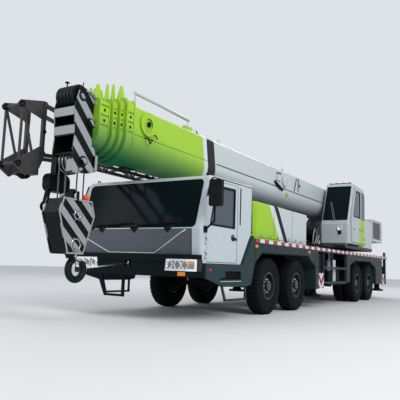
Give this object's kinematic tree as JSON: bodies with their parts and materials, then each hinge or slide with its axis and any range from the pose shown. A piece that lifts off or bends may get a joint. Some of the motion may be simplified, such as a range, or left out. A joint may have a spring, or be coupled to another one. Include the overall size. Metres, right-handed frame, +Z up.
{
  "type": "mobile crane",
  "caption": "four-axle mobile crane with a telescopic boom, slewing superstructure, stowed lattice jib and sliding outriggers",
  "frame": {"origin": "on the ground under the middle of the crane's overall length and width", "axes": "+X forward towards the driver's cab, +Y to the crane's left, +Z up"},
  "size_m": [14.9799, 3.38, 3.72],
  "materials": {
    "chassis_frame": "dark green-grey paint",
    "deck": "dark grey-green paint with red and white edge tape",
    "driver_cab": "light grey paint with a dark front panel",
    "cab_glass": "tinted glass",
    "cab_interior": "dark grey plastic and fabric",
    "front_bumper": "dark green-grey paint",
    "lamps": "clear lens with amber end",
    "mirrors": "black plastic",
    "engine_cover": "light grey paint with lime, white and black bands",
    "engine": "dark cast iron",
    "axles_and_springs": "dark painted castings",
    "tanks_and_racks": "dark grey-green paint",
    "knuckle_1_left": "dark painted castings",
    "tyre_1_left": "black rubber",
    "rim_1_left": "dark grey-green paint",
    "knuckle_1_right": "dark painted castings",
    "tyre_1_right": "black rubber",
    "rim_1_right": "dark grey-green paint",
    "knuckle_2_left": "dark painted castings",
    "tyre_2_left": "black rubber",
    "rim_2_left": "dark grey-green paint",
    "knuckle_2_right": "dark painted castings",
    "tyre_2_right": "black rubber",
    "rim_2_right": "dark grey-green paint",
    "tyres_3_left": "black rubber",
    "rim_3_left": "dark grey-green paint",
    "tyres_3_right": "black rubber",
    "rim_3_right": "dark grey-green paint",
    "tyres_4_left": "black rubber",
    "rim_4_left": "dark grey-green paint",
    "tyres_4_right": "black rubber",
    "rim_4_right": "dark grey-green paint",
    "door_left": "light grey paint",
    "door_right": "light grey paint",
    "outrigger_beam_front_left": "dark grey-green paint with a red and white plate",
    "outrigger_jack_front_left": "bare steel",
    "outrigger_beam_front_right": "dark grey-green paint with a red and white plate",
    "outrigger_jack_front_right": "bare steel",
    "outrigger_beam_rear_left": "dark grey-green paint with a red and white plate",
    "outrigger_jack_rear_left": "bare steel",
    "outrigger_beam_rear_right": "dark grey-green paint with a red and white plate",
    "outrigger_jack_rear_right": "bare steel",
    "slewing_platform": "light grey paint",
    "operator_cab": "light grey paint with a lime band",
    "operator_glass": "tinted glass",
    "operator_seat": "black plastic and fabric",
    "counterweight": "light grey painted cast iron",
    "winches": "dark paint with wound rope",
    "operator_door": "light grey paint",
    "boom_base": "light grey paint, lime towards the front",
    "lattice_jib": "dark grey paint",
    "boom_section_2": "lime green paint",
    "boom_section_3": "lime green paint",
    "boom_section_4": "lime green paint",
    "boom_section_5": "lime green paint, black and white stripes on the head",
    "ball_hook": "black paint",
    "hoist_falls": "greased wire rope",
    "hook_block": "black and white diagonal stripes",
    "luff_barrel": "light grey paint",
    "luff_rod": "chromed rod"
  },
  "bodies": {
    "carrier": {"chassis_frame": "chassis_frame", "deck": "deck", "driver_cab": "driver_cab", "cab_glass": "cab_glass", "cab_interior": "cab_interior", "front_bumper": "front_bumper", "lamps": "lamps", "mirrors": "mirrors", "engine_cover": "engine_cover", "engine": "engine", "axles_and_springs": "axles_and_springs", "tanks_and_racks": "tanks_and_racks"},
    "knuckle_1_left": {"knuckle_1_left": "knuckle_1_left"},
    "wheel_1_left": {"tyre_1_left": "tyre_1_left", "rim_1_left": "rim_1_left"},
    "knuckle_1_right": {"knuckle_1_right": "knuckle_1_right"},
    "wheel_1_right": {"tyre_1_right": "tyre_1_right", "rim_1_right": "rim_1_right"},
    "knuckle_2_left": {"knuckle_2_left": "knuckle_2_left"},
    "wheel_2_left": {"tyre_2_left": "tyre_2_left", "rim_2_left": "rim_2_left"},
    "knuckle_2_right": {"knuckle_2_right": "knuckle_2_right"},
    "wheel_2_right": {"tyre_2_right": "tyre_2_right", "rim_2_right": "rim_2_right"},
    "wheels_3_left": {"tyres_3_left": "tyres_3_left", "rim_3_left": "rim_3_left"},
    "wheels_3_right": {"tyres_3_right": "tyres_3_right", "rim_3_right": "rim_3_right"},
    "wheels_4_left": {"tyres_4_left": "tyres_4_left", "rim_4_left": "rim_4_left"},
    "wheels_4_right": {"tyres_4_right": "tyres_4_right", "rim_4_right": "rim_4_right"},
    "door_left": {"door_left": "door_left"},
    "door_right": {"door_right": "door_right"},
    "outrigger_beam_front_left": {"outrigger_beam_front_left": "outrigger_beam_front_left"},
    "outrigger_jack_front_left": {"outrigger_jack_front_left": "outrigger_jack_front_left"},
    "outrigger_beam_front_right": {"outrigger_beam_front_right": "outrigger_beam_front_right"},
    "outrigger_jack_front_right": {"outrigger_jack_front_right": "outrigger_jack_front_right"},
    "outrigger_beam_rear_left": {"outrigger_beam_rear_left": "outrigger_beam_rear_left"},
    "outrigger_jack_rear_left": {"outrigger_jack_rear_left": "outrigger_jack_rear_left"},
    "outrigger_beam_rear_right": {"outrigger_beam_rear_right": "outrigger_beam_rear_right"},
    "outrigger_jack_rear_right": {"outrigger_jack_rear_right": "outrigger_jack_rear_right"},
    "superstructure": {"slewing_platform": "slewing_platform", "operator_cab": "operator_cab", "operator_glass": "operator_glass", "operator_seat": "operator_seat", "counterweight": "counterweight", "winches": "winches"},
    "operator_door": {"operator_door": "operator_door"},
    "boom_base": {"boom_base": "boom_base", "lattice_jib": "lattice_jib"},
    "boom_section_2": {"boom_section_2": "boom_section_2"},
    "boom_section_3": {"boom_section_3": "boom_section_3"},
    "boom_section_4": {"boom_section_4": "boom_section_4"},
    "boom_section_5": {"boom_section_5": "boom_section_5", "ball_hook": "ball_hook"},
    "hoist_falls": {"hoist_falls": "hoist_falls"},
    "hook_block": {"hook_block": "hook_block"},
    "luff_barrel": {"luff_barrel": "luff_barrel"},
    "luff_rod": {"luff_rod": "luff_rod"}
  },
  "joints": [
    {"name": "steering", "type": "hinge", "parent": "carrier", "child": "knuckle_1_left", "pos_m": [2.73, 0.905, 0.555], "axis": [0, 0, 1], "range_deg": [-32, 32]},
    {"name": "wheel_1_left_spin", "type": "hinge", "parent": "knuckle_1_left", "child": "wheel_1_left", "pos_m": [2.73, 1.14, 0.555], "axis": [0, 1, 0], "continuous": true},
    {"name": "steering_1_right", "type": "hinge", "parent": "carrier", "child": "knuckle_1_right", "pos_m": [2.73, -0.905, 0.555], "axis": [0, 0, 1], "range_deg": [-32, 32]},
    {"name": "wheel_1_right_spin", "type": "hinge", "parent": "knuckle_1_right", "child": "wheel_1_right", "pos_m": [2.73, -1.14, 0.555], "axis": [0, 1, 0], "continuous": true},
    {"name": "steering_2_left", "type": "hinge", "parent": "carrier", "child": "knuckle_2_left", "pos_m": [1.25, 0.905, 0.555], "axis": [0, 0, 1], "range_deg": [-24, 24]},
    {"name": "wheel_2_left_spin", "type": "hinge", "parent": "knuckle_2_left", "child": "wheel_2_left", "pos_m": [1.25, 1.14, 0.555], "axis": [0, 1, 0], "continuous": true},
    {"name": "steering_2_right", "type": "hinge", "parent": "carrier", "child": "knuckle_2_right", "pos_m": [1.25, -0.905, 0.555], "axis": [0, 0, 1], "range_deg": [-24, 24]},
    {"name": "wheel_2_right_spin", "type": "hinge", "parent": "knuckle_2_right", "child": "wheel_2_right", "pos_m": [1.25, -1.14, 0.555], "axis": [0, 1, 0], "continuous": true},
    {"name": "wheels_3_left_spin", "type": "hinge", "parent": "carrier", "child": "wheels_3_left", "pos_m": [-3.5, 1.0475, 0.555], "axis": [0, 1, 0], "continuous": true},
    {"name": "wheels_3_right_spin", "type": "hinge", "parent": "carrier", "child": "wheels_3_right", "pos_m": [-3.5, -1.0475, 0.555], "axis": [0, 1, 0], "continuous": true},
    {"name": "wheels_4_left_spin", "type": "hinge", "parent": "carrier", "child": "wheels_4_left", "pos_m": [-4.86, 1.0475, 0.555], "axis": [0, 1, 0], "continuous": true},
    {"name": "wheels_4_right_spin", "type": "hinge", "parent": "carrier", "child": "wheels_4_right", "pos_m": [-4.86, -1.0475, 0.555], "axis": [0, 1, 0], "continuous": true},
    {"name": "door_left_hinge", "type": "hinge", "parent": "carrier", "child": "door_left", "pos_m": [5.295, 1.362, 1.2], "axis": [0, 0, -1], "range_deg": [0, 70]},
    {"name": "door_right_hinge", "type": "hinge", "parent": "carrier", "child": "door_right", "pos_m": [5.295, -1.362, 1.2], "axis": [0, 0, 1], "range_deg": [0, 70]},
    {"name": "outrigger_beam_front_left_slide", "type": "slide", "parent": "carrier", "child": "outrigger_beam_front_left", "axis": [0, 1, 0], "range_m": [0, 1.9]},
    {"name": "outrigger_jack_front_left_slide", "type": "slide", "parent": "outrigger_beam_front_left", "child": "outrigger_jack_front_left", "axis": [0, 0, -1], "range_m": [0, 0.45]},
    {"name": "outrigger_beam_front_right_slide", "type": "slide", "parent": "carrier", "child": "outrigger_beam_front_right", "axis": [0, -1, 0], "range_m": [0, 1.9]},
    {"name": "outrigger_jack_front_right_slide", "type": "slide", "parent": "outrigger_beam_front_right", "child": "outrigger_jack_front_right", "axis": [0, 0, -1], "range_m": [0, 0.45]},
    {"name": "outrigger_beam_rear_left_slide", "type": "slide", "parent": "carrier", "child": "outrigger_beam_rear_left", "axis": [0, 1, 0], "range_m": [0, 1.9]},
    {"name": "outrigger_jack_rear_left_slide", "type": "slide", "parent": "outrigger_beam_rear_left", "child": "outrigger_jack_rear_left", "axis": [0, 0, -1], "range_m": [0, 0.45]},
    {"name": "outrigger_beam_rear_right_slide", "type": "slide", "parent": "carrier", "child": "outrigger_beam_rear_right", "axis": [0, -1, 0], "range_m": [0, 1.9]},
    {"name": "outrigger_jack_rear_right_slide", "type": "slide", "parent": "outrigger_beam_rear_right", "child": "outrigger_jack_rear_right", "axis": [0, 0, -1], "range_m": [0, 0.45]},
    {"name": "slew", "type": "hinge", "parent": "carrier", "child": "superstructure", "pos_m": [-3.65, 0, 1.53], "axis": [0, 0, 1], "continuous": true},
    {"name": "operator_door_slide", "type": "slide", "parent": "superstructure", "child": "operator_door", "axis": [-1, 0, 0], "range_m": [0, 0.62]},
    {"name": "luff", "type": "hinge", "parent": "superstructure", "child": "boom_base", "pos_m": [-5.32, 0, 2.95], "axis": [0, -1, 0], "range_deg": [0, 80]},
    {"name": "telescope", "type": "slide", "parent": "boom_base", "child": "boom_section_2", "axis": [1, 0, 0], "range_m": [0, 7.8]},
    {"name": "telescope_3", "type": "slide", "parent": "boom_section_2", "child": "boom_section_3", "axis": [1, 0, 0], "range_m": [0, 7.8]},
    {"name": "telescope_4", "type": "slide", "parent": "boom_section_3", "child": "boom_section_4", "axis": [1, 0, 0], "range_m": [0, 7.8]},
    {"name": "telescope_5", "type": "slide", "parent": "boom_section_4", "child": "boom_section_5", "axis": [1, 0, 0], "range_m": [0, 7.8]},
    {"name": "hook_swing", "type": "hinge", "parent": "boom_section_5", "child": "hoist_falls", "pos_m": [6.95, 0, 2.355], "axis": [0, -1, 0], "range_deg": [-80, 0]},
    {"name": "hoist", "type": "slide", "parent": "hoist_falls", "child": "hook_block", "axis": [0, 0, -1], "range_m": [0, 0.575]},
    {"name": "barrel_tilt", "type": "hinge", "parent": "superstructure", "child": "luff_barrel", "pos_m": [-3.99, 0, 1.85], "axis": [0, -1, 0], "range_deg": [0, 81.3]},
    {"name": "rod_slide", "type": "slide", "parent": "luff_barrel", "child": "luff_rod", "axis": [0.9921, 0, 0.1251], "range_m": [0, 2.22]}
  ],
  "couplings": [
    {"joint": "steering_1_right", "follows": "steering", "ratio": 1},
    {"joint": "steering_2_left", "follows": "steering", "ratio": 0.75},
    {"joint": "steering_2_right", "follows": "steering", "ratio": 0.75},
    {"joint": "telescope_3", "follows": "telescope", "ratio": 1},
    {"joint": "telescope_4", "follows": "telescope", "ratio": 1},
    {"joint": "telescope_5", "follows": "telescope", "ratio": 1},
    {"joint": "hook_swing", "follows": "luff", "ratio": -1},
    {"joint": "hoist", "follows": "luff", "m_per_rad": 0.41181},
    {"joint": "barrel_tilt", "follows": "luff", "ratio": 1.0154},
    {"joint": "rod_slide", "follows": "luff", "m_per_rad": 1.5876}
  ]
}
